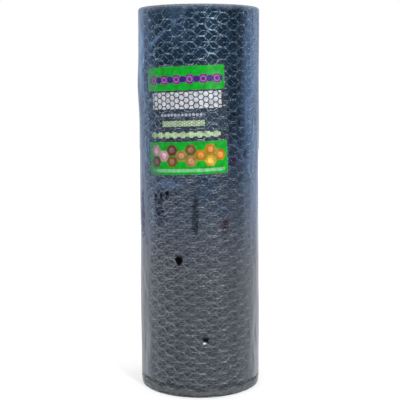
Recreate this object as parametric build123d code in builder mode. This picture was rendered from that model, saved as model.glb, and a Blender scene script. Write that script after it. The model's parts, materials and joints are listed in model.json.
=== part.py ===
from build123d import *
from math import cos, floor, pi, radians, sin, sqrt
import os

# The netting as it is sold: one strip of hexagonal wire mesh, wound up on a mandrel
netting_width = 914.4
netting_length = 45720.0
bore_radius = 32.0
turn_pitch = 1.35
rim_bevel = 2.0

# The turns as they show on both ends: one spiral groove stands for a few turns of wire
turns_per_groove = 5
groove_width = 2.6
groove_depth = 2.4
bore_land = 3.0
seat_land = 3.0

# The shrink film: a clear sleeve drawn tight round the roll and over the rims of both ends
film_thickness = 0.4
film_lap = 30.0
cling_gap = 0.25

# Two torn places in the film: bearing round the roll from its front, height, and size
tear_bearing = -18.8
tear_level = 327.0
tear_width = 15.0
tear_height = 23.0
nick_bearing = 6.3
nick_level = 140.0
nick_width = 8.5
nick_height = 7.0

# The label: a printed sheet that lies on the film, a little askew, its middle a drop below the top
label_width = 202.0
label_height = 260.0
label_thickness = 0.3
label_corner = 3.0
label_bearing = -13.2
label_drop = 261.4
label_tilt = 2.1

# Radii that follow from the wound length and from what lies on what
netting_radius = sqrt(bore_radius**2 + netting_length * turn_pitch / pi)
film_radius = netting_radius + cling_gap + film_thickness
lap_edge_radius = film_radius - film_lap
label_inner_radius = film_radius + cling_gap
label_outer_radius = label_inner_radius + label_thickness

# Each lap lies in a seat as deep as itself, so that film and wire stand on the floor together
seat_depth = film_thickness + cling_gap
seat_radius = lap_edge_radius - cling_gap

# The film's bevel runs parallel to the netting's, one seat depth outside it
film_bevel = rim_bevel + (2 - sqrt(2)) * seat_depth

# The groove's half turns are arcs about two centres that stand half a pitch apart
groove_pitch = turn_pitch * turns_per_groove
first_groove_radius = bore_radius + bore_land + groove_width / 2
last_groove_radius = seat_radius - seat_land - groove_width / 2
groove_half_turns = floor(2 * (last_groove_radius - first_groove_radius) / groove_pitch)

# The sheet seen flat from in front, and a ring of film tall enough to hold it askew
label_level = netting_width - label_drop
label_half_angle = label_width / label_outer_radius / 2
label_chord = 2 * label_outer_radius * sin(label_half_angle)
label_ring_height = label_height + label_width


def facing(bearing, level):
    """The upright plane on the roll's axis that looks outwards at a bearing from the front."""
    turn = radians(bearing)
    return Plane(origin=(0, 0, level), x_dir=(cos(turn), sin(turn), 0), z_dir=(sin(turn), -cos(turn), 0))


def spiral_edge(offset):
    """One edge of the groove, at an offset from its centre line, as a chain of half turns."""
    half_turns = []
    for index in range(groove_half_turns):
        far_side = index % 2
        centre = (far_side * groove_pitch / 2, 0)
        radius = first_groove_radius + index * groove_pitch / 2 + offset
        half_turns.append(CenterArc(centre, radius, start_angle=180 * far_side, arc_size=180))
    return half_turns


# Wound netting: a turned ring with its bore, bevelled rims and a seat for each of the film's laps
with BuildPart() as netting_roll:
    with BuildSketch(Plane.XZ) as netting_section:
        with BuildLine():
            Polyline(
                (bore_radius, 0),
                (seat_radius, 0),
                (seat_radius, seat_depth),
                (netting_radius, seat_depth),
                (netting_radius, netting_width - seat_depth),
                (seat_radius, netting_width - seat_depth),
                (seat_radius, netting_width),
                (bore_radius, netting_width),
                close=True,
            )
        make_face()
        chamfer(netting_section.vertices().group_by(Axis.X)[-1], length=rim_bevel)
    revolve(axis=Axis.Z)
    for end_plane, inwards in ((Plane.XY, 1), (Plane.XY.offset(netting_width), -1)):
        with BuildSketch(end_plane):
            with BuildLine():
                inner_edge = spiral_edge(-groove_width / 2)
                outer_edge = spiral_edge(groove_width / 2)
                Line(inner_edge[0] @ 0, outer_edge[0] @ 0)
                Line(inner_edge[-1] @ 1, outer_edge[-1] @ 1)
            make_face()
        extrude(amount=inwards * groove_depth, mode=Mode.SUBTRACT)
netting_roll.part.label = "netting_roll"

# Shrink film: a thin wall that turns over both rims, with two torn places in its front
with BuildPart() as shrink_film:
    with BuildSketch(Plane.XZ):
        with BuildLine():
            Polyline(
                (lap_edge_radius, 0),
                (film_radius - film_bevel, 0),
                (film_radius, film_bevel),
                (film_radius, netting_width - film_bevel),
                (film_radius - film_bevel, netting_width),
                (lap_edge_radius, netting_width),
            )
            offset(amount=film_thickness, side=Side.LEFT, kind=Kind.INTERSECTION)
        make_face()
    revolve(axis=Axis.Z)
    with BuildSketch(facing(tear_bearing, tear_level)):
        Ellipse(tear_width / 2, tear_height / 2)
    with BuildSketch(facing(nick_bearing, nick_level)):
        Ellipse(nick_width / 2, nick_height / 2)
    extrude(amount=label_outer_radius, mode=Mode.SUBTRACT)
shrink_film.part.label = "shrink_film"

# Printed label: a patch of sheet bent to the film, cut to its outline as seen from in front
with BuildPart() as printed_label:
    with BuildSketch(Plane.XY.offset(label_level - label_ring_height / 2)):
        Circle(label_outer_radius)
        Circle(label_inner_radius, mode=Mode.SUBTRACT)
    extrude(amount=label_ring_height)
    with BuildSketch(facing(label_bearing, label_level)):
        RectangleRounded(label_chord, label_height, label_corner, rotation=label_tilt)
    extrude(amount=label_outer_radius, mode=Mode.INTERSECT)
printed_label.part.label = "printed_label"

os.makedirs("parts", exist_ok=True)
export_step(netting_roll.part, "parts/netting_roll.step")
export_step(shrink_film.part, "parts/shrink_film.step")
export_step(printed_label.part, "parts/printed_label.step")
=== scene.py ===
from math import atan2, cos, pi, radians, sin, sqrt

import bmesh
import bpy
import numpy as np
from mathutils import Matrix, Vector
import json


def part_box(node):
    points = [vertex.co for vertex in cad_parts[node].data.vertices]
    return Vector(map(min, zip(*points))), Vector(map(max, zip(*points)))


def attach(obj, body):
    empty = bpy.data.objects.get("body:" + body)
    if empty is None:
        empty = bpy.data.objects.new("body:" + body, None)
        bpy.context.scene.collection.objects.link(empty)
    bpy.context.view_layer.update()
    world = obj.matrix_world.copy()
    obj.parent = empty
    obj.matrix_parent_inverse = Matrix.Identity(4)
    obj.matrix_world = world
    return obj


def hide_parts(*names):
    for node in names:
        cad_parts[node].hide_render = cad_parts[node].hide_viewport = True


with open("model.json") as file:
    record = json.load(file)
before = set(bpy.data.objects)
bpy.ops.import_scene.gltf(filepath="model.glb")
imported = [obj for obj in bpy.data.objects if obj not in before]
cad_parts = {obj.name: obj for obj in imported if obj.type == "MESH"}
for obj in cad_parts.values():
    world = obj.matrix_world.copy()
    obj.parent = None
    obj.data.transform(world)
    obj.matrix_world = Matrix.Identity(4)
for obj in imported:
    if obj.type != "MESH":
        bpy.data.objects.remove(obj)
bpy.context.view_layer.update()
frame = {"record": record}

# The netting is one strip of galvanised hexagonal mesh, wound up on a mandrel that was drawn out
# again. Its wires run round the roll. Each is twisted in turn with the wire above it and the wire
# below it, and a heavier selvedge wire is woven into each long edge of the strip.
roll_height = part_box("netting_roll")[1].z
roll_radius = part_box("netting_roll")[1].x
bore_mount = next(m for m in frame["record"]["mounts"] if m["name"] == "core_bore")
bore_radius = bore_mount["dims"]["r_mm"] / 1000

turn_pitch = 0.00135
turn_count = (roll_radius - bore_radius) / turn_pitch
mesh_wire_radius = 0.00043
selvedge_wire_radius = 0.00065
wire_count = 69
column_spacing = 0.0261
twist_length = 0.014
edge_row_height = 0.004
selvedge_height = 0.0018
selvedge_steps = 40
first_column_bearing = radians(148.7)

# Irregularity of the weave, as the spread of a twist's place along and across the strip
weave_seed = 7
weave_spread_along = 0.0013
weave_spread_across = 0.0008

# Slow drift of the rows up and down along the strip, as pairs of size and reach. The selvedges
# hold straight, so it is strongest at half height, where the rows of two turns seldom meet.
row_drift = ((0.0033, 0.2876), (0.0016, 0.413), (0.0010, 0.078))

# Both ends of the turns rise and sink a little in a spiral wave a few turns wide. It sets in over
# some turns below the outer ones, which the film holds level.
wave_pitch = 5 * turn_pitch
wave_depth = 0.0024
wave_start_radius = bore_radius + 0.0043
level_turns = 8
turns_to_full_wave = 6

strip_radius = roll_radius - 2 * mesh_wire_radius
row_heights = np.linspace(edge_row_height, roll_height - edge_row_height, wire_count + 1)
row_heights[0] = selvedge_height
row_heights[-1] = roll_height - selvedge_height


def round_the_roll(radius, bearing, height):
    """Points at a radius, a bearing from the front and a height."""
    return np.stack([radius * np.sin(bearing), -radius * np.cos(bearing), height], axis=-1)


def wind(arc, height, lift):
    """Points of the strip, at an arc length from its loose end, once it is wound up."""
    angle = 2 * pi / turn_pitch * (strip_radius - np.sqrt(strip_radius**2 - turn_pitch * arc / pi))
    drift = sum(size * np.sin(arc / reach) for size, reach in row_drift)
    height = height + drift * np.sin(pi * height / roll_height)
    radius = strip_radius - turn_pitch * angle / (2 * pi)
    bearing = first_column_bearing - angle
    wave = 2 * pi * (radius - wave_start_radius) / wave_pitch - bearing + pi / 2
    free = np.clip(angle / (2 * pi) - level_turns, 0, turns_to_full_wave) / turns_to_full_wave
    sink = wave_depth * free * (0.5 + 0.5 * np.cos(wave)) ** 2
    height = height + sink * (1 - 2 * height / roll_height)
    return round_the_roll(radius + lift, bearing, height)


def arc_of_turn(turn):
    """The arc length from the loose end at which a turn of the strip begins."""
    angle = 2 * pi * turn
    return strip_radius * angle - turn_pitch * angle**2 / (4 * pi)


def mesh_wires(first_turn, last_turn, wires, steps, twists):
    """Centre lines of mesh wires over some turns, as an array of lines, points and coordinates."""
    first_column = int(np.ceil(arc_of_turn(first_turn) / column_spacing))
    last_column = int(np.ceil(arc_of_turn(last_turn) / column_spacing))
    columns = np.arange(first_column, last_column + 1)[None, :]
    wires = np.asarray(wires)[:, None]
    rows = wires + (wires + columns) % 2
    from_above = rows == wires

    # Both wires of a twist read the same two random numbers, picked by column and row
    spread = np.random.default_rng(weave_seed).normal(size=(2, last_column + 1, wire_count + 1))
    centre_arc = columns * column_spacing + weave_spread_along * spread[0][columns, rows]
    centre_height = row_heights[rows] + weave_spread_across * spread[1][columns, rows]
    at_edge = (rows == 0) | (rows == wire_count)
    centre_height = np.where(at_edge, row_heights[rows], centre_height)
    wrap_radius = np.where(at_edge, mesh_wire_radius + selvedge_wire_radius, mesh_wire_radius)

    along = np.linspace(0, 1, steps + 1)
    phase = np.where(from_above, pi / 2, -pi / 2)[..., None] + 2 * pi * twists * along
    arc = centre_arc[..., None] + (along - 0.5) * twist_length
    height = centre_height[..., None] + wrap_radius[..., None] * np.sin(phase)
    lift = wrap_radius[..., None] * np.cos(phase)
    return wind(arc, height, lift).reshape(len(wires), -1, 3)


def selvedge_wires(first_turn, last_turn):
    """Centre lines of both selvedge wires over some turns."""
    point_count = int((last_turn - first_turn) * selvedge_steps) + 2
    arc = arc_of_turn(np.linspace(first_turn, last_turn, point_count))[None, :]
    height = np.array([[selvedge_height], [roll_height - selvedge_height]]) + 0 * arc
    return wind(arc + 0 * height, height, 0)


def tube_mesh(lines, radius, sides, twist_points):
    """Vertices, faces, bake map and twisted faces of tubes round centre lines of equal point count."""
    line_count, point_count = lines.shape[:2]
    tangent = np.gradient(lines, axis=1)
    tangent /= np.linalg.norm(tangent, axis=2, keepdims=True)
    outward = lines * (1, 1, 0)
    across = np.cross(tangent, outward)
    across /= np.linalg.norm(across, axis=2, keepdims=True)
    outward = np.cross(across, tangent)
    turn = 2 * pi * np.arange(sides) / sides + pi / sides
    ring = np.cos(turn)[:, None] * outward[:, :, None] + np.sin(turn)[:, None] * across[:, :, None]
    vertices = (lines[:, :, None] + radius * ring).reshape(-1, 3)

    line = np.arange(line_count)[:, None, None]
    point = np.arange(point_count - 1)[None, :, None]
    side = np.arange(sides)[None, None, :]
    corners = ((point, side), (point, side + 1), (point + 1, side + 1), (point + 1, side))
    faces = np.stack([(line * point_count + p) * sides + s % sides for p, s in corners], axis=-1)
    along = [p / (point_count - 1) + 0 * (line + side) for p, _ in corners]
    round_it = [(line + s / sides) / line_count + 0 * point for _, s in corners]
    bake_map = np.stack([np.stack(along, axis=-1), np.stack(round_it, axis=-1)], axis=-1)
    twisted = (point % twist_points != twist_points - 1) + 0 * (line + side)
    return vertices, faces.reshape(-1, 4), bake_map.reshape(-1, 2), twisted.ravel()


def new_piece(name, mesh, material):
    """An object in the scene, of a mesh and its material."""
    mesh.materials.append(material)
    piece = bpy.data.objects.new(name, mesh)
    bpy.context.scene.collection.objects.link(piece)
    return piece


def wire_piece(name, tubes, material):
    """One piece made of tubes, each given as centre lines, radius, sides and points in a twist."""
    parts = [tube_mesh(*tube) for tube in tubes]
    starts = np.cumsum([0] + [len(part[0]) for part in parts])
    faces = np.concatenate([part[1] + start for part, start in zip(parts, starts)])
    mesh = bpy.data.meshes.new(name)
    mesh.from_pydata(np.concatenate([part[0] for part in parts]), [], faces)
    bake_layer = mesh.uv_layers.new(name="OFBake")
    shares = np.array([len(part[1]) for part in parts]) / len(faces)
    tops = np.cumsum(shares)
    maps = [part[2] * (1, share) + (0, top - share) for part, share, top in zip(parts, shares, tops)]
    bake_layer.uv.foreach_set("vector", np.concatenate(maps).astype(np.float32).ravel())
    twisted = mesh.attributes.new("twisted", "FLOAT", "FACE")
    twisted.data.foreach_set("value", np.concatenate([part[3] for part in parts]).astype(np.float32))
    mesh.shade_smooth()
    piece = new_piece(name, mesh, material)
    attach(piece, "root")
    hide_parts("netting_roll")


def feed(tree, node, inputs):
    """Gives a node its inputs, as numbers or as other nodes' sockets."""
    for key, value in inputs.items():
        if isinstance(value, bpy.types.NodeSocket):
            tree.links.new(value, node.inputs[key])
        else:
            node.inputs[key].default_value = value


def add_node(tree, kind, inputs=(), **settings):
    """A shader node with its settings made and its inputs fed."""
    node = tree.nodes.new(f"ShaderNode{kind}")
    for key, value in settings.items():
        setattr(node, key, value)
    feed(tree, node, dict(inputs))
    return node


def maths(tree, operation, *values, **settings):
    """The result of one Math node on numbers or sockets."""
    inputs = dict(enumerate(values))
    return add_node(tree, "Math", inputs, operation=operation, **settings).outputs[0]


def lifted(tree, value, gain, base):
    """A value times a gain, on top of a base."""
    return maths(tree, "MULTIPLY_ADD", value, gain, base)


def vector_maths(tree, operation, *values):
    """The result of one Vector Math node on vectors or sockets."""
    node = add_node(tree, "VectorMath", dict(enumerate(values)), operation=operation)
    return node.outputs["Value" if operation == "LENGTH" else "Vector"]


def scaled(tree, colour, factor):
    """A colour made darker or brighter."""
    return add_node(tree, "VectorMath", {0: colour, "Scale": factor}, operation="SCALE").outputs[0]


def mixed(tree, share, first, second, kind="RGBA"):
    """Two colours, or two values of another kind, mixed by the share of the second."""
    inputs = {"Factor": share, "A": first, "B": second}
    return add_node(tree, "Mix", inputs, data_type=kind).outputs["Result"]


def ramp(tree, value, start, end, low=0.0, high=1.0, smooth=False):
    """A value that goes from low to high where another goes from start to end."""
    inputs = {"Value": value, "From Min": start, "From Max": end, "To Min": low, "To Max": high}
    kind = "SMOOTHSTEP" if smooth else "LINEAR"
    return add_node(tree, "MapRange", inputs, interpolation_type=kind).outputs[0]


def noise(tree, place, scale, detail, distortion=0.0, **settings):
    """The value of one Noise Texture."""
    inputs = {"Vector": place, "Scale": scale, "Detail": detail, "Distortion": distortion}
    return add_node(tree, "TexNoise", inputs, **settings).outputs[0]


def object_place(tree):
    """The place of a point of the surface in the roll's own frame."""
    return add_node(tree, "TexCoord").outputs["Object"]


def parts_of(tree, vector):
    """The three parts of a vector, by the names of their axes."""
    return add_node(tree, "SeparateXYZ", {"Vector": vector}).outputs


def relief(tree, height, strength, depth):
    """The normal of a surface that carries a drawn height."""
    return add_node(tree, "Bump", {"Height": height, "Strength": strength, "Distance": depth}).outputs[0]


def new_group(name, inputs, outputs):
    """An empty shader group, its input sockets and its end. An input may name its usual value."""
    group = bpy.data.node_groups.new(name, "ShaderNodeTree")
    for label, kind, *usual in inputs:
        socket = group.interface.new_socket(label, in_out="INPUT", socket_type=f"NodeSocket{kind}")
        if usual:
            socket.default_value = usual[0]
    for label, kind in outputs:
        group.interface.new_socket(label, in_out="OUTPUT", socket_type=f"NodeSocket{kind}")
    return group, group.nodes.new("NodeGroupInput").outputs, group.nodes.new("NodeGroupOutput")


def place_group(tree, group, inputs):
    """The outputs of a shader group placed in a material with its own values."""
    return add_node(tree, "Group", inputs, node_tree=group).outputs


def new_material(name):
    """A material with its Principled BSDF, as material, tree and shader."""
    material = bpy.data.materials.new(name)
    material.use_nodes = True
    tree = material.node_tree
    return material, tree, tree.nodes["Principled BSDF"]


def zinc_skin():
    """Hot-dipped zinc: spangled and cloudy, bluer and darker towards the top, greyer and paler towards the
    foot.
    """
    group, given, result = new_group(
        "zinc_skin",
        [
            ("Fresh", "Color"),
            ("Weathered", "Color"),
            ("Cloud Size", "Float", 0.02),
            ("Spangle Size", "Float", 0.0048),
            ("Brightness", "Float", 1.0),
            ("Spangle", "Float", 1.0),
            ("Height", "Float", 1.0),
        ],
        [("Color", "Color"), ("Roughness", "Float"), ("Grain", "Float")],
    )
    grain_scale = 1400.0
    cloud_share = 0.7
    spangle_contrast, spangle_middle = 3.0, 0.16
    foot_gain, top_gain = 3.1, 1.4
    plain_level = 1.22
    place = object_place(group)
    cloud = noise(group, place, maths(group, "DIVIDE", 1.0, given["Cloud Size"]), detail=3.0)
    spangle = noise(group, place, maths(group, "DIVIDE", 1.0, given["Spangle Size"]), detail=1.0)
    rise = maths(group, "DIVIDE", parts_of(group, place)["Z"], given["Height"])
    cloudy_rise = lifted(group, cloud, gain=cloud_share, base=rise)
    top_tone = ramp(group, cloudy_rise, start=0.75, end=1.08, smooth=True)
    colour = mixed(group, top_tone, given["Weathered"], given["Fresh"])
    bright = maths(group, "POWER", ramp(group, spangle, start=0.30, end=0.72), spangle_contrast)
    bright = maths(group, "SUBTRACT", bright, spangle_middle)
    gain = lifted(group, top_tone, gain=top_gain, base=foot_gain)
    gain = maths(group, "MULTIPLY", gain, given["Spangle"])
    bright = lifted(group, bright, gain, base=plain_level)
    bright = maths(group, "MULTIPLY", bright, given["Brightness"])
    results = {
        "Color": scaled(group, colour, bright),
        "Roughness": ramp(group, cloud, start=0.0, end=1.0, low=0.20, high=0.40),
        "Grain": noise(group, place, grain_scale, detail=1.0),
    }
    feed(group, result, results)
    return group


# Where the film is torn open, as bearing, height and half sizes round and up the roll
torn_places = (
    (radians(-19.6), 0.329, 0.0080, 0.0116),
    (radians(5.4), 0.1414, 0.0058, 0.0052),
)

# Where the zinc is made darker or brighter, as bearing, height, half sizes round and up the
# roll, softness, and the share of its brightness that is left. The first two are painted shade in
# the holes behind the tears, the third a painted shaded band on the right, the fourth and fifth
# painted highlights down a column of glints, and the last two a darker and a brighter patch.
zinc_shade_and_highlight_places = (
    (*torn_places[0], 0.12, 0.01),
    (radians(5.4), 0.1408, 0.0082, 0.0074, 0.12, 0.003),
    (radians(34), 0.70, 0.036, 0.26, 0.45, 0.62),
    (radians(10), 0.84, 0.014, 0.08, 0.5, 1.32),
    (radians(14), 0.26, 0.014, 0.05, 0.5, 1.12),
    (radians(17), 0.27, 0.052, 0.30, 0.45, 0.80),
    (radians(-43), 0.23, 0.040, 0.27, 0.40, 1.55),
)
zinc_place_depth = 0.06


def zinc_painted_shade_and_highlights():
    """A colour of the netting with painted shade and painted highlights laid on at the listed places."""
    group, given, result = new_group(
        "zinc_painted_shade_and_highlights",
        [("Color", "Color"), ("Spread", "Float", 1.0), ("Drop", "Float", 0.0), ("Most", "Float", 2.0)],
        [("Color", "Color")],
    )
    drop = add_node(group, "CombineXYZ", {"Z": given["Drop"]}).outputs[0]
    place = vector_maths(group, "ADD", object_place(group), drop)
    drawn_in = maths(group, "DIVIDE", 1.0, given["Spread"])
    drawn_in = add_node(group, "CombineXYZ", {"X": drawn_in, "Y": 1.0, "Z": drawn_in}).outputs[0]
    colour = given["Color"]
    edge = 1.1
    for bearing, height, half_width, half_height, softness, share in zinc_shade_and_highlight_places:
        middle = (strip_radius * sin(bearing), -strip_radius * cos(bearing), height)
        off = vector_maths(group, "SUBTRACT", place, middle)
        per_size = (1 / half_width, 1 / zinc_place_depth, 1 / half_height)
        off = vector_maths(group, "MULTIPLY", off, per_size)
        reach = vector_maths(group, "LENGTH", vector_maths(group, "MULTIPLY", off, drawn_in))
        least = maths(group, "MINIMUM", share, given["Most"])
        kept = ramp(group, reach, edge - softness, edge + softness, low=least, smooth=True)
        colour = scaled(group, colour, kept)
    feed(group, result, {"Color": colour})
    return group


zinc_group = zinc_skin()
painted_light_group = zinc_painted_shade_and_highlights()
zinc_cloud_size = 0.05


def zinc_material(name, top_tone, foot_tone, spangle, most_share):
    """A galvanised finish for wires, with a painted highlight that makes them brighter where they are
    twisted.
    """
    material, tree, shader = new_material(name)
    twisted = add_node(tree, "Attribute", attribute_name="twisted").outputs["Fac"]
    # Painted highlight: the twisted faces are made brighter, as if they caught more light
    twist_highlight = lifted(tree, twisted, gain=0.36, base=0.90)
    values = {"Fresh": top_tone, "Weathered": foot_tone, "Cloud Size": zinc_cloud_size}
    values |= {"Brightness": twist_highlight, "Spangle": spangle, "Height": roll_height}
    skin = place_group(tree, zinc_group, values)
    # Painted shade behind the tears and in a band, and painted highlights down a column of glints
    with_painted_light = place_group(tree, painted_light_group, {"Color": skin["Color"], "Most": most_share})
    looks = {"Base Color": with_painted_light["Color"], "Roughness": skin["Roughness"], "Metallic": 0.9}
    feed(tree, shader, looks | {"Normal": relief(tree, skin["Grain"], strength=0.2, depth=0.0001)})
    return material


outer_zinc = zinc_material(
    "galvanised_wire", (0.21, 0.29, 0.40, 1), (0.350, 0.388, 0.455, 1), spangle=1.0, most_share=2.0
)
# The fifth to twelfth turns get a darker copy of the finish: painted shade, as the outer turns shade them
shaded_inner_zinc = zinc_material(
    "galvanised_wire_inside_painted_shade", (0.027, 0.057, 0.097, 1), (0.222, 0.242, 0.282, 1), spangle=0.4, most_share=1.0
)
end_zinc = zinc_material(
    "galvanised_wire_at_ends", (0.17, 0.20, 0.24, 1), (0.25, 0.265, 0.29, 1), spangle=0.25, most_share=1.0
)

# The outer four turns have their twists as wires wrapped round each other, fewer points to a twist
# from turn to turn. In the deeper ones the wires run straight through each twist.
all_wires = range(wire_count)
edge_wires = (0, 1, wire_count - 2, wire_count - 1)
no_twist = 10**6
for name, first_turn, last_turn, steps, twists, mesh_sides, selvedge_sides in (
    ("netting_turn_1", 0, 1, 8, 2, 4, 6),
    ("netting_turn_2", 1, 2, 6, 1, 3, 6),
    ("netting_turns_3_4", 2, 4, 4, 1, 3, 5),
):
    twisted_wires = mesh_wires(first_turn, last_turn, all_wires, steps, twists)
    tubes = [
        (twisted_wires, mesh_wire_radius, mesh_sides, steps + 1),
        (selvedge_wires(first_turn, last_turn), selvedge_wire_radius, selvedge_sides, no_twist),
    ]
    wire_piece(name, tubes, outer_zinc)


def plain_wires(first_turn, last_turn, wires):
    """Tubes of mesh wires that run straight through each twist."""
    return mesh_wires(first_turn, last_turn, wires, 1, 0), mesh_wire_radius, 3, 2


last_end = turn_count - 0.1
wire_piece("netting_turns_5_8", [plain_wires(4, 8, all_wires)], shaded_inner_zinc)
wire_piece("netting_turns_9_12", [plain_wires(8, 12, all_wires)], shaded_inner_zinc)
wire_piece(
    "netting_turns_to_bore",
    [
        plain_wires(12, turn_count - 3, edge_wires),
        plain_wires(turn_count - 3, last_end, all_wires),
        (selvedge_wires(4, last_end), selvedge_wire_radius, 4, no_twist),
    ],
    end_zinc,
)

# The turns between the twelfth and the third from the bore lie too deep for single wires to show.
# They are one ring, painted dark as the shade deep in the roll, whose skin carries the netting as a
# drawn and raised pattern.
turns_outside_core, turns_inside_core = 12.5, 3.5
core_outer_radius = strip_radius - turns_outside_core * turn_pitch
core_inner_radius = bore_radius + turns_inside_core * turn_pitch
core_inset = 0.009
core_segments = 128
core_columns = 30
core_cell = 26.5
core_wire = 1.2
mm_in_m = 1000.0
ink_edge = 0.35


def core_mesh():
    """A plain upright ring with a square section."""
    turn = 2 * pi * np.arange(core_segments) / core_segments
    bottom, top = core_inset, roll_height - core_inset
    section = ((core_inner_radius, bottom), (core_outer_radius, bottom))
    section += ((core_outer_radius, top), (core_inner_radius, top))
    vertices = [(r * sin(t), -r * cos(t), z) for r, z in section for t in turn]
    faces = []
    for corner in range(4):
        for step in range(core_segments):
            near = corner * core_segments
            far = (corner + 1) % 4 * core_segments
            after = (step + 1) % core_segments
            faces.append((near + step, near + after, far + after, far + step))
    mesh = bpy.data.meshes.new("netting_core")
    mesh.from_pydata(vertices, [], faces)
    return mesh


def hexagon_shape():
    """Hexagons in rows: masks of their fill and of their outline, all in millimetres."""
    group, given, result = new_group(
        "hexagons_in_rows",
        [
            ("Plane", "Vector"),
            ("Middle", "Vector"),
            ("Half Height", "Float", 10.0),
            ("Spacing Across", "Float", 1000.0),
            ("Spacing Up", "Float", 1000.0),
            ("Line", "Float", 2.0),
        ],
        [("Fill", "Float"), ("Outline", "Float")],
    )
    off = parts_of(group, vector_maths(group, "SUBTRACT", given["Plane"], given["Middle"]))
    folded = []
    for axis, spacing in (("X", "Spacing Across"), ("Y", "Spacing Up")):
        half = maths(group, "MULTIPLY", given[spacing], 0.5)
        back = maths(group, "MULTIPLY", given[spacing], -0.5)
        folded.append(maths(group, "ABSOLUTE", maths(group, "WRAP", off[axis], half, back)))
    across, up = folded
    slope = maths(group, "MULTIPLY_ADD", across, cos(pi / 6), maths(group, "MULTIPLY", up, 0.5))
    reach = maths(group, "SUBTRACT", maths(group, "MAXIMUM", slope, up), given["Half Height"])
    half_line = maths(group, "MULTIPLY", given["Line"], 0.5)
    from_line = maths(group, "SUBTRACT", maths(group, "ABSOLUTE", reach), half_line)
    masks = {"Fill": reach, "Outline": from_line}
    feed(group, result, {name: ramp(group, beyond, ink_edge, -ink_edge) for name, beyond in masks.items()})
    return group


def column_step(pitch):
    """The distance between the columns of a honeycomb, from its pitch up each column."""
    return 0.75 * pitch / cos(pi / 6)


hexagon_group = hexagon_shape()

core_material, core_tree, core_shader = new_material("netting_depth_painted_shade")
core_step = column_step(core_cell)
core_place = parts_of(core_tree, object_place(core_tree))
core_angle = maths(core_tree, "ARCTAN2", core_place["X"], core_place["Y"])
core_across = maths(core_tree, "MULTIPLY", core_angle, core_columns * core_step / (2 * pi))
core_up = maths(core_tree, "MULTIPLY", core_place["Z"], mm_in_m)
core_plane = add_node(core_tree, "CombineXYZ", {"X": core_across, "Y": core_up}).outputs[0]
core_wires = 0.0
for shift in (0, 1):
    values = {
        "Plane": core_plane,
        "Middle": (shift * core_step, shift * core_cell / 2, 0),
        "Half Height": core_cell / 2,
        "Spacing Across": 2 * core_step,
        "Spacing Up": core_cell,
        "Line": core_wire,
    }
    outline = place_group(core_tree, hexagon_group, values)["Outline"]
    core_wires = maths(core_tree, "MAXIMUM", core_wires, outline)
# Colours far darker than the wires: painted shade of the deep turns
values = {
    "Fresh": (0.006, 0.040, 0.078, 1),
    "Weathered": (0.028, 0.034, 0.045, 1),
    "Cloud Size": zinc_cloud_size,
    "Brightness": lifted(core_tree, core_wires, gain=0.6, base=1.0),
    "Spangle": 0.3,
    "Height": roll_height,
}
core_skin = place_group(core_tree, zinc_group, values)

# Its painted shade is wider and a little lower than on the wires, so that it shows whole through a tear
values = {"Color": core_skin["Color"], "Spread": 1.35, "Drop": 0.003, "Most": 1.0}
core_looks = {
    "Base Color": place_group(core_tree, painted_light_group, values)["Color"],
    "Normal": relief(core_tree, core_wires, strength=0.6, depth=0.0008),
    "Roughness": 0.8,
    "Specular IOR Level": 0.2,
}
feed(core_tree, core_shader, core_looks)

core = new_piece("netting_core", core_mesh(), core_material)
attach(core, "root")
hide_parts("netting_roll")

# The shrink film is a clear sleeve, heated until it drew tight round the roll and over the rims
# of both ends. It is wrinkled, milky where it is slack or creased, and torn in two places in front.
film_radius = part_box("shrink_film")[1].x
film_lap = 0.030
film_rim = 0.0025

# Its wrinkles are many waves, each with its count round the roll, its lean, its phase and its size
film_seed = 11
film_waves = 26
fewest_round, most_round = 2, 22
lean_spread = 2.5
wrinkle_size = 0.0016
film_rng = np.random.default_rng(film_seed)
wave_round = film_rng.integers(fewest_round, most_round, film_waves)
wave_up = film_rng.normal(0, lean_spread, film_waves)
wave_phase = film_rng.uniform(0, 2 * pi, film_waves)
wave_size = wrinkle_size / np.sqrt(wave_round * film_waves)

# One bulge at the left, as bearing, height, half sizes round and up, and how far it stands out
bulge_bearing, bulge_height = radians(-84), 0.735
bulge_half_round, bulge_half_up = radians(14), 0.05
bulge_rise = 0.0026

# The film is slacker low down, from a share of the height over a fade, but tight at its hem
slack_top, slack_fade = 0.65, 0.45
slack_rise = 0.0018
hem_height = 0.010

# Creases that stand out, each from one bearing and height to another, with its height and width.
# Along them the film is made milky, partly as whitened film and partly as a painted highlight.
film_creases = (
    (radians(-11), 0.901, radians(-26), 0.871, 0.0014, 0.0046),
    (radians(-31), 0.860, radians(-53), 0.818, 0.0013, 0.0046),
    (radians(-53), 0.818, radians(-74), 0.760, 0.0010, 0.0055),
    (radians(30), 0.62, radians(62), 0.50, 0.0010, 0.003),
    (radians(-70), 0.30, radians(-48), 0.20, 0.0010, 0.003),
)
crease_milk_and_highlight = 470

# Milky patches, each with its bearing, height, half sizes round and up the roll, and strength
milky_patches = (
    (radians(-50), 0.84, 0.022, 0.045, 0.26),
    (radians(-70), 0.83, 0.024, 0.110, 0.84),
    (radians(-19), 0.850, 0.036, 0.040, 0.19),
    (radians(-58), 0.65, 0.018, 0.100, 0.42),
    (radians(-43), 0.24, 0.045, 0.280, 0.24),
    (radians(-28), 0.507, 0.044, 0.014, 0.46),
    (radians(-48), 0.455, 0.013, 0.060, 0.30),
    (radians(-61), 0.08, 0.022, 0.110, 0.50),
    (radians(52), 0.73, 0.022, 0.170, 0.46),
    (radians(64), 0.78, 0.018, 0.170, 0.28),
    (radians(66), 0.09, 0.020, 0.110, 0.45),
    (radians(4), 0.288, 0.035, 0.012, 0.16),
    (radians(18), 0.262, 0.010, 0.006, 0.30),
)
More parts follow.
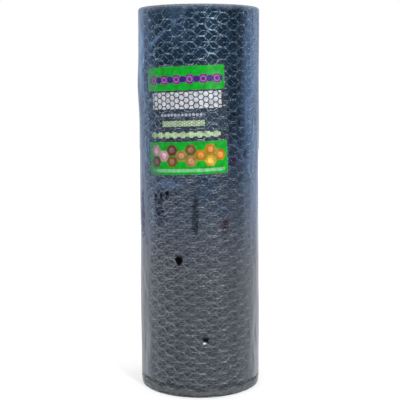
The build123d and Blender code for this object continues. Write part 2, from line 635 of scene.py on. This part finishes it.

# Marks and slack places in the film, each with its bearing, height, half sizes, colour and
# strength. Among them are a painted shade and a painted highlight.
film_marks_and_painted_light = (
    (radians(-56.0), 0.800, 0.0165, 0.1000, (0.105, 0.188, 0.400, 1), 0.36),
    (radians(-23.0), 0.897, 0.0280, 0.0130, (0.045, 0.090, 0.155, 1), 0.60),
    (radians(-42.0), 0.893, 0.0220, 0.0130, (0.022, 0.055, 0.095, 1), 0.60),
    (radians(-40.0), 0.440, 0.0160, 0.0330, (0.020, 0.022, 0.075, 1), 0.40),
    (radians(-44.8), 0.478, 0.0060, 0.0050, (0.001, 0.001, 0.002, 1), 0.98),
    (radians(-45.5), 0.468, 0.0040, 0.0040, (0.001, 0.001, 0.002, 1), 0.95),
    (radians(-38.2), 0.480, 0.0050, 0.0065, (0.001, 0.001, 0.002, 1), 0.98),
    (radians(-31.5), 0.487, 0.0055, 0.0070, (0.001, 0.001, 0.002, 1), 0.98),
    # Painted shade: a dark streak down the film
    (radians(-4.0), 0.437, 0.0080, 0.0600, (0.006, 0.020, 0.031, 1), 0.54),
    (radians(33.4), 0.561, 0.0060, 0.0160, (0.060, 0.016, 0.080, 1), 0.35),
    (radians(47.2), 0.571, 0.0060, 0.0120, (0.060, 0.020, 0.090, 1), 0.35),
    (radians(23.5), 0.412, 0.0110, 0.0200, (0.060, 0.036, 0.050, 1), 0.35),
    (radians(-70.0), 0.430, 0.0190, 0.0600, (0.130, 0.140, 0.340, 1), 0.34),
    # Painted highlight: a pale lip of film under the lower tear
    (radians(4.0), 0.1332, 0.0044, 0.0030, (0.780, 0.800, 0.830, 1), 0.95),
    (radians(-40.5), 0.003, 0.0070, 0.0035, (0.004, 0.005, 0.006, 1), 0.90),
    (radians(86.3), 0.131, 0.0100, 0.0050, (0.004, 0.005, 0.006, 1), 0.85),
    (radians(77.4), 0.010, 0.0070, 0.0055, (0.004, 0.005, 0.006, 1), 0.85),
)
film_mark_depth = 0.04

# Painted highlights on small folds that catch the light, laid on as pale marks, each with its
# bearing in degrees and its height
fold_highlights = ((10.7, 0.267), (15.4, 0.252), (22.2, 0.202), (22.2, 0.176))
fold_highlights += ((23.2, 0.149), (10.4, 0.082), (13.5, 0.295), (7.8, 0.217))
fold_highlight_look = (0.0019, 0.0017, (0.45, 0.47, 0.50, 1), 0.60)
film_marks_and_painted_light += tuple((radians(turned), height, *fold_highlight_look) for turned, height in fold_highlights)

# Bands all round the film at both rims, each with its height, half height, colour and strength.
# The lowest, dark one is partly the film's lap and partly a painted contact shadow at the foot.
rim_bands = (
    (0.0030, 0.0050, (0.030, 0.036, 0.038, 1), 0.60),
    (0.0140, 0.0075, (0.160, 0.172, 0.176, 1), 0.70),
    (0.0245, 0.0065, (0.056, 0.065, 0.077, 1), 0.34),
    (0.9170, 0.0165, (0.240, 0.290, 0.370, 1), 0.66),
)


def film_swell(bearing, height):
    """How far the film stands off the roll at a bearing and height."""
    swell = 0 * (bearing + height)
    for turns, rise, phase, size in zip(wave_round, wave_up, wave_phase, wave_size):
        swell = swell + size * np.sin(turns * bearing + rise * height * 2 * pi + phase)
    swell = np.abs(swell)
    bulge_round = (bearing - bulge_bearing) / bulge_half_round
    bulge_up = (height - bulge_height) / bulge_half_up
    swell = swell + bulge_rise * np.exp(-(bulge_round**2) - bulge_up**2)
    low = np.clip((slack_top - height / roll_height) / slack_fade, 0, 1)
    above_hem = 1 - np.exp(-((height / hem_height) ** 2))
    swell = swell + slack_rise * low * low * (3 - 2 * low) * above_hem
    return swell + crease_rise(bearing, height)


def crease_rise(bearing, height):
    """How far the creases stand up at a bearing and height."""
    total = 0 * (bearing + height)
    for bearing_a, height_a, bearing_b, height_b, rise, width in film_creases:
        run_round = (bearing_b - bearing_a) * film_radius
        run_up = height_b - height_a
        run = sqrt(run_round**2 + run_up**2)
        off_round = (bearing - bearing_a) * film_radius
        off_up = height - height_a
        along = np.clip((off_round * run_round + off_up * run_up) / run**2, 0, 1)
        gap = np.hypot(off_round - along * run_round, off_up - along * run_up)
        tapered = np.sqrt(np.sin(pi * (0.04 + 0.92 * along)))
        total = total + rise * np.exp(-((gap / width) ** 2)) * tapered
    return total


def film_milk(bearing, height):
    """How milky the film is at a bearing and height, along its creases and in its patches; along the creases
    it is partly a painted highlight.
    """
    milk = crease_milk_and_highlight * crease_rise(bearing, height)
    for patch_bearing, patch_height, half_width, half_height, strength in milky_patches:
        off_round = (bearing - patch_bearing) * film_radius / half_width
        off_up = (height - patch_height) / half_height
        milk = milk + strength * np.exp(-((off_round**2 + off_up**2) ** 1.5))
    return np.clip(milk, 0, 1)


def grid_faces(rows, columns, closed):
    """Faces between the points of a grid, whose rows may close on themselves."""
    row = np.arange(rows - 1)[:, None]
    column = np.arange(columns if closed else columns - 1)[None, :]
    after = (column + 1) % columns
    corners = [row * columns + column, row * columns + after]
    corners += [(row + 1) * columns + after, (row + 1) * columns + column]
    return np.stack(corners, axis=-1).reshape(-1, 4)


def film_mesh():
    """The sleeve with its wrinkled wall, its gathered laps over both ends, and its tears."""
    around, lap_steps, wall_steps = 288, 13, 190
    lap_gap = 0.0001
    low_fold, high_fold = 0.0009, 0.0016
    shoulder_rise, shoulder_inset, shoulder_width = 0.0020, 0.005, 0.006
    pleats, edge_waves, edge_depth = 23, 7, 0.003
    milk_all_over, milk_in_pleats, milk_at_edge = 0.14, 0.30, 0.25
    lap = np.linspace(0, 1, lap_steps)
    wall = np.linspace(film_rim, roll_height - film_rim, wall_steps)
    lap_radius = film_radius - film_lap + (film_lap - film_rim) * lap
    bearing = 2 * pi * (np.arange(around) / around - 0.5)
    wall_radius = film_radius + film_swell(bearing[None, :], wall[:, None])
    loose = (1 - lap)[:, None]
    gather = np.abs(np.sin(pleats * bearing + 2 * np.sin(5 * bearing)))[None, :] * loose
    edge_wave = edge_depth * np.sin(edge_waves * bearing + 1.3 * np.sin(3 * bearing))[None, :] * loose
    lap_rings = lap_radius[:, None] + edge_wave
    from_shoulder = (film_radius - lap_radius - shoulder_inset) / shoulder_width
    shoulder = shoulder_rise * np.exp(-(from_shoulder**2))[:, None]
    low_lap = np.stack([lap_rings, lap_gap + low_fold * gather], axis=-1)
    high_lap = np.stack([lap_rings, roll_height - lap_gap + high_fold * gather + shoulder], axis=-1)[::-1]
    wall_rings = np.stack([wall_radius, wall[:, None] + 0 * wall_radius], axis=-1)
    rings = np.concatenate([low_lap, wall_rings, high_lap])
    vertices = round_the_roll(rings[..., 0], bearing, rings[..., 1])
    mesh = bpy.data.meshes.new("clear_shrink_film")
    mesh.from_pydata(vertices.reshape(-1, 3), [], grid_faces(len(rings), around, closed=True))
    lap_milk = milk_all_over + milk_in_pleats * gather**3 + milk_at_edge * np.exp(-30 * lap)[:, None]
    milkiness = [lap_milk, film_milk(bearing[None, :], wall[:, None]), lap_milk[::-1]]
    milk = mesh.attributes.new("milk", "FLOAT", "POINT")
    milk.data.foreach_set("value", np.concatenate(milkiness).astype(np.float32).ravel())
    tear_film(mesh)
    mesh.shade_smooth()
    return mesh


def tear_film(mesh):
    """Opens each tear: drops the film inside it and draws the edge that is left out to its oval."""
    search_reach, raggedness, lip_rise = 0.04, 0.14, 0.0008
    sheet = bmesh.new()
    sheet.from_mesh(mesh)
    for tear_bearing, tear_height, half_width, half_height in torn_places:
        across = Vector((cos(tear_bearing), sin(tear_bearing), 0))
        middle = Vector((sin(tear_bearing) * film_radius, -cos(tear_bearing) * film_radius, tear_height))

        def oval_place(vertex):
            """The vertex's place across and up the tear, in half sizes of its oval."""
            off = vertex.co - middle
            return Vector((off.dot(across) / half_width, off.z / half_height))

        outwards = middle * Vector((1, 1, 0))
        near = [v for v in sheet.verts if (v.co - middle).length < search_reach and v.co.dot(outwards) > 0]
        inside = [v for v in near if oval_place(v).length < 1]
        edge = {e.other_vert(v) for v in inside for e in v.link_edges} - set(inside)
        edge |= {v for hub in inside for f in hub.link_faces for v in f.verts} - set(inside)
        for vertex in edge:
            place = oval_place(vertex)
            ragged_rim = 1 + raggedness * sin(3 * atan2(place.y, place.x) + 0.6)
            to_rim = place.normalized() * ragged_rim - place
            vertex.co += across * to_rim.x * half_width + Vector((0, 0, to_rim.y * half_height))
            vertex.co += outwards.normalized() * lip_rise
        bmesh.ops.delete(sheet, geom=inside, context="VERTS")
    sheet.to_mesh(mesh)
    sheet.free()


def crease_pattern():
    """Creases and slack in drawn film: ridges for its normal, and how milky each place is, the milk along
    the ridges being partly a painted highlight.
    """
    group, given, result = new_group(
        "film_creases",
        [("Crease Size", "Float", 0.05), ("Height", "Float", 1.0)],
        [("Ridges", "Float"), ("Milk And Highlight", "Float"), ("Streaks", "Float")],
    )
    place = object_place(group)
    drawn = {"Vector": place, "Rotation": (0.35, 0.2, 0), "Scale": (1, 1, 0.35)}
    drawn = add_node(group, "Mapping", drawn).outputs[0]
    scale = maths(group, "DIVIDE", 1.0, given["Crease Size"])
    ridges = noise(group, drawn, scale, detail=4.0, distortion=0.6, noise_type="RIDGED_MULTIFRACTAL")
    slack = noise(group, drawn, scale=9.0, detail=2.0)
    milk_and_highlight = maths(group, "MULTIPLY", ramp(group, ridges, start=0.7, end=1.5), slack)
    rise = maths(group, "DIVIDE", parts_of(group, place)["Z"], given["Height"])
    milk_and_highlight = maths(group, "ADD", ramp(group, rise, start=0.72, end=0.46), milk_and_highlight)
    cling = ramp(group, noise(group, place, scale=48.0, detail=2.0), start=0.42, end=0.68)
    milk_and_highlight = lifted(group, cling, gain=0.45, base=milk_and_highlight)
    pulled = {"Vector": place, "Rotation": (0.06, -0.05, 0), "Scale": (1, 1, 0.12)}
    pulled = add_node(group, "Mapping", pulled).outputs[0]
    streaks = ramp(group, noise(group, pulled, scale=130.0, detail=3.0), start=0.35, end=0.65)
    feed(group, result, {"Ridges": ridges, "Milk And Highlight": milk_and_highlight, "Streaks": streaks})
    return group


crease_group = crease_pattern()

film_material, film_tree, film_shader = new_material("clear_shrink_film")
film_lap_tint = (0.34, 0.37, 0.41, 1)
film_high_tint = (0.087, 0.153, 0.275, 1)
film_low_tint = (0.173, 0.190, 0.221, 1)
film_place = object_place(film_tree)
film_up = parts_of(film_tree, film_place)["Z"]
creases = place_group(film_tree, crease_group, {"Crease Size": 0.06, "Height": roll_height})

# The film covers more where it is seen edge on, where it is milky, and where it is creased;
# along the creases this cover is partly a painted highlight.
facing = add_node(film_tree, "LayerWeight", {"Blend": 0.5}).outputs["Facing"]
turned_away = ramp(film_tree, facing, start=0.26, end=0.74, high=1.05)
streaky = lifted(film_tree, creases["Streaks"], gain=0.60, base=0.48)
turned_away = maths(film_tree, "MULTIPLY", turned_away, streaky)
milk = add_node(film_tree, "Attribute", attribute_name="milk").outputs["Fac"]
milk = maths(film_tree, "MULTIPLY", milk, lifted(film_tree, creases["Streaks"], gain=0.5, base=0.65))
crease_cover = 0.21
film_cover = maths(film_tree, "MULTIPLY", creases["Milk And Highlight"], crease_cover)
film_cover = maths(film_tree, "ADD", film_cover, turned_away, use_clamp=True)
film_cover = maths(film_tree, "MAXIMUM", film_cover, milk)

# It is bluer above and greyer below, paler where it is milky, and palest on the laps
greyed = ramp(film_tree, film_up, start=0.56, end=0.30)
film_tint = mixed(film_tree, greyed, film_high_tint, film_low_tint)
film_tint = scaled(film_tree, film_tint, lifted(film_tree, milk, gain=1.2, base=1.0))
from_axis = vector_maths(film_tree, "LENGTH", vector_maths(film_tree, "MULTIPLY", film_place, (1, 1, 0)))
on_wall = ramp(film_tree, from_axis, film_radius - 0.009, film_radius - 0.003)
film_tint = mixed(film_tree, on_wall, film_lap_tint, film_tint)


def lay_over(tint, cover, mask, colour, strength):
    """The film's tint and cover with one mark laid over them."""
    share = maths(film_tree, "MULTIPLY", mask, strength)
    laid = mixed(film_tree, mask, cover, strength, kind="FLOAT")
    return mixed(film_tree, mask, tint, colour), maths(film_tree, "MAXIMUM", share, laid)


ragged = noise(film_tree, film_place, scale=150.0, detail=2.0)
ragged = lifted(film_tree, ragged, gain=1.6, base=-0.3)
for mark_bearing, mark_height, half_width, half_height, mark_colour, strength in film_marks_and_painted_light:
    middle = (film_radius * sin(mark_bearing), -film_radius * cos(mark_bearing), mark_height)
    per_size = (1 / (half_width * cos(mark_bearing)), 1 / film_mark_depth, 1 / half_height)
    off = vector_maths(film_tree, "SUBTRACT", film_place, middle)
    reach = vector_maths(film_tree, "LENGTH", vector_maths(film_tree, "MULTIPLY", off, per_size))
    reach = maths(film_tree, "ADD", reach, ragged)
    mark = ramp(film_tree, reach, start=1.65, end=1.25, smooth=True)
    film_tint, film_cover = lay_over(film_tint, film_cover, mark, mark_colour, strength)
wavy = noise(film_tree, film_place, scale=22.0, detail=3.0)
film_up = maths(film_tree, "ADD", film_up, lifted(film_tree, wavy, gain=0.016, base=-0.008))
for band_height, half_height, band_colour, strength in rim_bands:
    reach = maths(film_tree, "ABSOLUTE", maths(film_tree, "SUBTRACT", film_up, band_height))
    band = ramp(film_tree, reach, half_height, 0.0, smooth=True)
    band = maths(film_tree, "MULTIPLY", band, on_wall)
    film_tint, film_cover = lay_over(film_tint, film_cover, band, band_colour, strength)
film_looks = {
    "Base Color": film_tint,
    "Alpha": film_cover,
    "Normal": relief(film_tree, creases["Ridges"], strength=0.5, depth=0.002),
    "Roughness": 0.22,
    "Specular IOR Level": 0.05,
}
feed(film_tree, film_shader, film_looks)

film = new_piece("clear_shrink_film", film_mesh(), film_material)
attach(film, "root")
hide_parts("shrink_film")

# The label is a sheet of clear film with opaque inks printed on it, stuck on the shrink film a
# little askew. The netting shows between its blocks of print. Its print is a generic one.
label_bearing = radians(-13.2)
label_level = sum(corner.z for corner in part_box("printed_label")) / 2
label_width = 0.202
label_height = 0.260
label_tilt = radians(2.1)
label_corner = 0.003
label_gap = 0.0006
label_columns, label_rows = 73, 91


def label_mesh():
    """The sheet bent to the film, with rounded corners and a map of its own plane in millimetres."""
    across, up = np.meshgrid(np.linspace(-1, 1, label_columns), np.linspace(-1, 1, label_rows))
    x = across * label_width / 2
    y = up * label_height / 2
    into_x = (np.abs(x) - label_width / 2 + label_corner) / label_corner
    into_y = (np.abs(y) - label_height / 2 + label_corner) / label_corner
    in_corner = (into_x > 0) & (into_y > 0)
    drawn_in = np.maximum(into_x, into_y) / np.maximum(np.hypot(into_x, into_y), 1e-9)
    shrink = np.where(in_corner, drawn_in, 1)
    x = np.where(in_corner, x + np.sign(x) * label_corner * into_x * (shrink - 1), x)
    y = np.where(in_corner, y + np.sign(y) * label_corner * into_y * (shrink - 1), y)
    arc = x * cos(label_tilt) - y * sin(label_tilt)
    height = label_level + x * sin(label_tilt) + y * cos(label_tilt)
    bearing = label_bearing + arc / film_radius
    vertices = round_the_roll(film_radius + film_swell(bearing, height) + label_gap, bearing, height)
    faces = grid_faces(label_rows, label_columns, closed=False)
    mesh = bpy.data.meshes.new("printed_label_sheet")
    mesh.from_pydata(vertices.reshape(-1, 3), [], faces)
    layer = mesh.uv_layers.new(name="sheet_plane")
    plane = np.stack([x, y], axis=-1).reshape(-1, 2) * mm_in_m
    layer.uv.foreach_set("vector", plane[faces].astype(np.float32).ravel())
    mesh.shade_smooth()
    return mesh


def block_shape():
    """A printed block with rounded corners, as a mask, all in millimetres."""
    group, given, result = new_group(
        "printed_block",
        [("Plane", "Vector"), ("Middle", "Vector"), ("Half Size", "Vector"), ("Corner", "Float", 1.0)],
        [("Mask", "Float")],
    )
    off = vector_maths(group, "SUBTRACT", given["Plane"], given["Middle"])
    over = vector_maths(group, "SUBTRACT", vector_maths(group, "ABSOLUTE", off), given["Half Size"])
    over = vector_maths(group, "ADD", over, given["Corner"])
    over = vector_maths(group, "MAXIMUM", over, (0, 0, 0))
    reach = vector_maths(group, "LENGTH", vector_maths(group, "MULTIPLY", over, (1, 1, 0)))
    beyond = maths(group, "SUBTRACT", reach, given["Corner"])
    feed(group, result, {"Mask": ramp(group, beyond, ink_edge, -ink_edge)})
    return group


block_group = block_shape()

label_material, label_tree, label_shader = new_material("printed_label")
sheet_plane = add_node(label_tree, "UVMap", uv_map="sheet_plane").outputs["UV"]


def block(left, right, bottom, top, corner=1.5):
    """The mask of one block of print between its edges."""
    middle = ((left + right) / 2, (bottom + top) / 2, 0)
    half_size = ((right - left) / 2, (top - bottom) / 2, 1)
    values = {"Plane": sheet_plane, "Middle": middle, "Half Size": half_size, "Corner": corner}
    return place_group(label_tree, block_group, values)["Mask"]


def hexagons(middle, half_height, spacing_across=1000.0, spacing_up=1000.0):
    """The fill and outline masks of one hexagon or of rows of them."""
    values = {"Plane": sheet_plane, "Middle": (*middle, 0), "Half Height": half_height}
    values |= {"Spacing Across": spacing_across, "Spacing Up": spacing_up}
    return place_group(label_tree, hexagon_group, values)


def both(mask_a, mask_b):
    """Where two masks meet."""
    return maths(label_tree, "MULTIPLY", mask_a, mask_b)


def honeycomb(middle, pitch, half_height):
    """Hexagons packed in staggered columns, a pitch apart up the sheet."""
    step = column_step(pitch)
    columns = hexagons(middle, half_height, 2 * step, pitch)["Fill"]
    between = hexagons((middle[0] + step, middle[1] + pitch / 2), half_height, 2 * step, pitch)["Fill"]
    return maths(label_tree, "MAXIMUM", columns, between)


green = (0.004, 0.41, 0.022, 1)
magenta = (0.25, 0.006, 0.27, 1)
purple = (0.07, 0.012, 0.22, 1)
white = (0.66, 0.68, 0.74, 1)
lilac = (0.24, 0.27, 0.38, 1)
pale_lilac = (0.42, 0.45, 0.58, 1)
pale_green = (0.46, 0.62, 0.38, 1)
mint = (0.22, 0.60, 0.28, 1)

# A green head with a chain of hexagons, then a band of white honeycomb and three rows of small
# hexagons on the clear film, and a green foot with hexagons in warm colours over a mint rule
prints = [
    (block(-100.5, 96, 70.5, 124.5), green),
    (both(hexagons((-78, 95), 10.5, 31.2)["Fill"], block(-92, 92, 80, 110, 0.5)), magenta),
    (both(hexagons((-62.4, 95), 7.5, 31.2)["Fill"], block(-92, 92, 80, 110, 0.5)), purple),
    (both(hexagons((-78, 95), 5.5, 31.2)["Outline"], block(-92, 92, 80, 110, 0.5)), lilac),
    (both(honeycomb((-84, 34.5), 13, 5.3), block(-84, 87, 28, 67, 1)), white),
    (both(hexagons((-56, 14.5), 3.3, 8.6)["Fill"], block(-61, 46, 10, 19, 0.5)), pale_lilac),
    (both(honeycomb((-50, -8.5), 6.4, 2.8), block(-56, 46, -12, 1.5, 1)), pale_green),
    (both(hexagons((-82, -31), 7.2, 19.2)["Fill"], block(-92, 82, -40, -22, 0.5)), pale_green),
    (both(hexagons((-72.4, -31), 4.2, 19.2)["Fill"], block(-92, 82, -40, -22, 0.5)), pale_green),
    (block(-100.5, 97, -122, -47), green),
    (block(-90, 90, -116.5, -109, 2), mint),
]

maroon = (0.13, 0.035, 0.035, 1)
pink = (0.55, 0.30, 0.37, 1)
brown = (0.20, 0.085, 0.030, 1)
tan = (0.38, 0.19, 0.07, 1)
orange = (0.50, 0.19, 0.012, 1)
yellow = (0.62, 0.36, 0.03, 1)
comb_columns = ((maroon, pink), (pink,), (brown, maroon), (tan,))
comb_columns += ((tan, brown), (orange,), (yellow, orange), (orange,))
comb_level = -79
comb_pitch = 26.0
cell_half_height, heart_half_height = 0.47 * comb_pitch, 0.24 * comb_pitch
for column, colours in enumerate(comb_columns):
    across = (column - (len(comb_columns) - 1) / 2) * column_step(comb_pitch)
    for row, colour in enumerate(colours):
        middle = (across, comb_level + (row - (len(colours) - 1) / 2) * comb_pitch)
        paler = [0.06 + 1.5 * c for c in colour[:3]] + [1]
        prints.append((hexagons(middle, cell_half_height)["Fill"], colour))
        prints.append((hexagons(middle, heart_half_height)["Fill"], paler))

# The inks cover one another in that order. They are mottled, and faded towards the left edge.
faded_ink = (0.030, 0.11, 0.105, 1)
ink = (0.5, 0.52, 0.56, 1)
cover = 0.0
for mask, colour in prints:
    ink = mixed(label_tree, mask, ink, colour)
    cover = maths(label_tree, "MAXIMUM", cover, mask)
uneven = noise(label_tree, sheet_plane, scale=0.09, detail=4.0)
mottle = ramp(label_tree, uneven, start=0.3, end=0.7, low=0.62, high=1.25)
ink = scaled(label_tree, ink, mottle)
faded = ramp(label_tree, parts_of(label_tree, sheet_plane)["X"], start=-62.0, end=-100.0, high=0.72)
label_creases = place_group(label_tree, crease_group, {"Crease Size": 0.05, "Height": roll_height})
label_looks = {
    "Base Color": mixed(label_tree, faded, ink, faded_ink),
    "Alpha": lifted(label_tree, cover, gain=0.90, base=0.06),
    "Normal": relief(label_tree, label_creases["Ridges"], strength=0.25, depth=0.002),
    "Roughness": 0.35,
    "Specular IOR Level": 0.12,
}
feed(label_tree, label_shader, label_looks)

label = new_piece("printed_label_sheet", label_mesh(), label_material)
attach(label, "root")
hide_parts("printed_label")

# The floor and the light are a plain white studio: a pale floor, an even sky and three large soft
# lamps, at a level at which a colour renders about as it is written.
floor_reach = 8
floor_grey = (0.86, 0.86, 0.86, 1)
floor_corners = [(-floor_reach, -floor_reach, 0), (floor_reach, -floor_reach, 0)]
floor_corners += [(floor_reach, floor_reach, 0), (-floor_reach, floor_reach, 0)]
floor_mesh = bpy.data.meshes.new("floor")
floor_mesh.from_pydata(floor_corners, [], [(0, 1, 2, 3)])


def as_background(tree):
    """One on the rays that show a surface as background, and nought on those that light the roll."""
    path = add_node(tree, "LightPath").outputs
    shown = maths(tree, "MAXIMUM", path["Is Camera Ray"], path["Is Glossy Ray"])
    return maths(tree, "MAXIMUM", shown, path["Is Transmission Ray"])


floor_material, floor_tree, floor_shader = new_material("floor")
from_roll = vector_maths(floor_tree, "LENGTH", object_place(floor_tree))
floor_white = ramp(floor_tree, from_roll, start=0.5, end=3.0, low=0.42)
floor_looks = {
    "Base Color": floor_grey,
    "Roughness": 0.9,
    "Emission Color": (1, 1, 1, 1),
    "Emission Strength": maths(floor_tree, "MULTIPLY", as_background(floor_tree), floor_white),
}
feed(floor_tree, floor_shader, floor_looks)
floor = new_piece("floor", floor_mesh, floor_material)

sky_light = 0.55
world = bpy.data.worlds.new("studio")
bpy.context.scene.world = world
world.use_nodes = True
world_tree = world.node_tree
sky_strength = lifted(world_tree, as_background(world_tree), gain=1 - sky_light, base=sky_light)
sky_looks = {"Color": (1, 1, 1, 1), "Strength": sky_strength}
feed(world_tree, world_tree.nodes["Background"], sky_looks)


def soft_lamp(name, place, width, height, power):
    """A large upright lamp that points at the middle of the roll."""
    lamp = bpy.data.lights.new(name, "AREA")
    lamp.shape = "RECTANGLE"
    lamp.size = width
    lamp.size_y = height
    lamp.energy = power
    holder = bpy.data.objects.new(name, lamp)
    holder.location = place
    aim = Vector((0, 0, roll_height / 2)) - Vector(place)
    holder.rotation_euler = aim.to_track_quat("-Z", "Y").to_euler()
    bpy.context.scene.collection.objects.link(holder)


soft_lamp("key_lamp", (1.3, -2.6, 1.3), width=0.3, height=1.4, power=38)
soft_lamp("right_lamp", (2.3, 1.0, 1.1), width=1.6, height=2.0, power=17)
soft_lamp("left_lamp", (-2.3, 1.0, 1.1), width=1.6, height=2.0, power=21)

# The camera stands in front of the roll, a little lower than its top, and looks slightly down.
camera_distance = 2.2423
camera_height = 0.7401
camera_pitch = radians(7.27)
camera_roll = radians(-0.29)
camera_yaw = radians(0.033)
focal_pixels = 919.5
image_pixels = 400
sensor_width = 36

camera_data = bpy.data.cameras.new("camera")
camera_data.sensor_width = sensor_width
camera_data.lens = sensor_width * focal_pixels / image_pixels
camera = bpy.data.objects.new("camera", camera_data)
camera.location = (0, -camera_distance, camera_height)
turn = Matrix.Rotation(-camera_yaw, 3, "Z")
tip = Matrix.Rotation(pi / 2 - camera_pitch, 3, "X")
bank = Matrix.Rotation(camera_roll, 3, "Z")
camera.rotation_euler = (turn @ tip @ bank).to_euler()
bpy.context.scene.collection.objects.link(camera)
bpy.context.scene.camera = camera
bpy.context.scene.view_settings.view_transform = "Standard"

bpy.context.view_layer.update()
